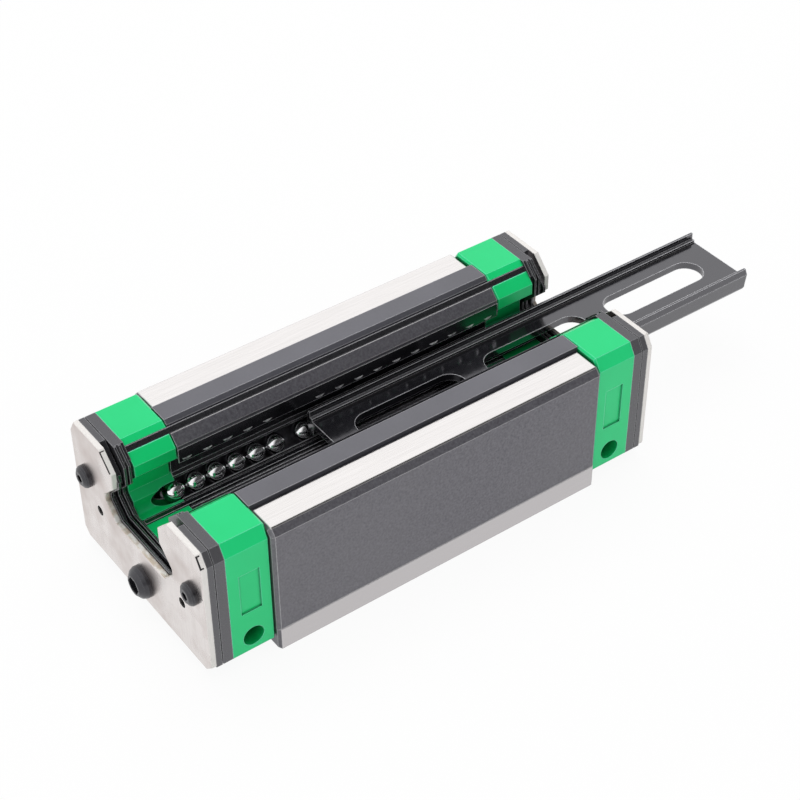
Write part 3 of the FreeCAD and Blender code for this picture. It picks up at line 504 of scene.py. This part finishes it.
GLEAM_STARTS = (-44.3, 5.5, 5), (-7.4, 5.65, 10)  # first place, pitch and count of each run
GLEAM_HALF = 1.3
GLEAM_DEPTH = 0.6
GLEAM_TOP = 29.35
GLEAM_STEPS = 8
RETAINER_FACE = 9.7
GLEAM_ROOT, GLEAM_LIFT = 0.05, 0.03


def add_piece(name, corners, faces, material, body):
    """Closed mesh with its faces turned outward; corners are in millimetres."""
    mesh = bpy.data.meshes.new(name)
    mesh.from_pydata([tuple(Vector(corner) * MM) for corner in corners], [], faces)
    shell = bmesh.new()
    shell.from_mesh(mesh)
    bmesh.ops.recalc_face_normals(shell, faces=shell.faces)
    shell.to_mesh(mesh)
    shell.free()
    mesh.materials.append(material)
    piece = bpy.data.objects.new(name, mesh)
    bpy.context.scene.collection.objects.link(piece)
    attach(piece, body)


def ribbon(name, path, normal, width, body, material, root=LINE_ROOT):
    """Closed thin strip that follows a path on a flat face."""
    normal = Vector(normal).normalized()
    points = [Vector(point) for point in path]
    steps = [(after - before).normalized() for before, after in zip(points, points[1:])]
    corners = []
    for index, point in enumerate(points):
        near = steps[max(index - 1, 0)], steps[min(index, len(steps) - 1)]
        sides = [normal.cross(step) for step in near]
        side = (sides[0] + sides[1]).normalized()
        side *= width / 2 / max(side.dot(sides[0]), MITRE_LEAST)
        for edge in (point - side, point + side):
            corners.append(edge + normal * LINE_LIFT)
            corners.append(edge - normal * root)
    faces = [(0, 1, 3, 2)]
    for a in range(0, 4 * len(steps), 4):
        b = a + 4
        faces.append((a, a + 2, b + 2, b))
        faces.append((a + 1, b + 1, b + 3, a + 3))
        faces.append((a, b, b + 1, a + 1))
        faces.append((a + 2, a + 3, b + 3, b + 2))
    last = 4 * len(steps)
    faces.append((last, last + 2, last + 3, last + 1))
    add_piece(name, corners, faces, material, body)


def gleam_rim(along):
    """Outline of one glint, as places along the retainer and heights: an arc over its chord."""
    radius = (GLEAM_HALF ** 2 + GLEAM_DEPTH ** 2) / (2 * GLEAM_DEPTH)
    arc = math.asin(GLEAM_HALF / radius)
    turns = [arc * (2 * step / GLEAM_STEPS - 1) for step in range(GLEAM_STEPS + 1)]
    foot = GLEAM_TOP - GLEAM_DEPTH
    return [(along + radius * math.sin(turn), foot + radius * (1 - math.cos(turn)))
            for turn in turns]


def make_gleams():
    """Painted glints on the inner face of each lip retainer, one for each upper ball in view."""
    material = ball_gleam()
    places = [first + pitch * index
              for first, pitch, count in GLEAM_STARTS for index in range(count)]
    for side, sign in (("left", -1), ("right", 1)):
        corners, faces = [], []
        for along in places:
            rim = gleam_rim(along)
            count = len(rim)
            far = [len(corners) + index for index in range(count)]
            near = [index + count for index in far]
            for across in (RETAINER_FACE + GLEAM_ROOT, RETAINER_FACE - GLEAM_LIFT):
                corners += [(sign * across, y, z) for y, z in rim]
            faces += [far, near]
            for index in range(count):
                after = (index + 1) % count
                faces.append((far[index], far[after], near[after], near[index]))
        add_piece(side + "_ball_gleams", corners, faces, material, "carriage")


def make_lines():
    """Painted shade on the front scraper's sheared edges and scratch, and the rail's grooves."""
    line = painted_shade_line()
    face = SCRAPER_FACE
    near, far, hook = face + 0.2, face + 1.25, face + 0.95
    slope = [(-14.35, far, 37.45), (-14.35, near, 37.45), (-10.55, near, 33.65)]
    ribbon("scraper_slope_line", slope, (1, 0, 1), SLOPE_LINE_WIDTH, "carriage", line,
           EDGE_LINE_ROOT)
    corner = [(26.9, hook, 37.56), (26.9, near, 37.56), (28.4, near, 35.04), (28.4, hook, 35.04)]
    ribbon("scraper_corner_line", corner, (3.2, 0, 1.9), CORNER_LINE_WIDTH, "carriage", line,
           EDGE_LINE_ROOT)
    scratch = [(26.7, face, 25.95), (28.1, face, 25.6)]
    ribbon("scraper_scratch", scratch, (0, -1, 0), SCRATCH_WIDTH, "carriage", line)
    across, height = GROOVE_PLACE
    for side, sign in (("left", -1), ("right", 1)):
        groove = [(sign * across, end, height) for end in GROOVE_ENDS]
        ribbon("rail_groove_shade_" + side, groove, (0, 0, 1), GROOVE_WIDTH, "transport_rail_body",
               line)


make_camera()
make_world()
make_lights()
make_floor()
dress_nodes()
make_gleams()
make_lines()
bpy.context.scene.view_settings.view_transform = "Standard"
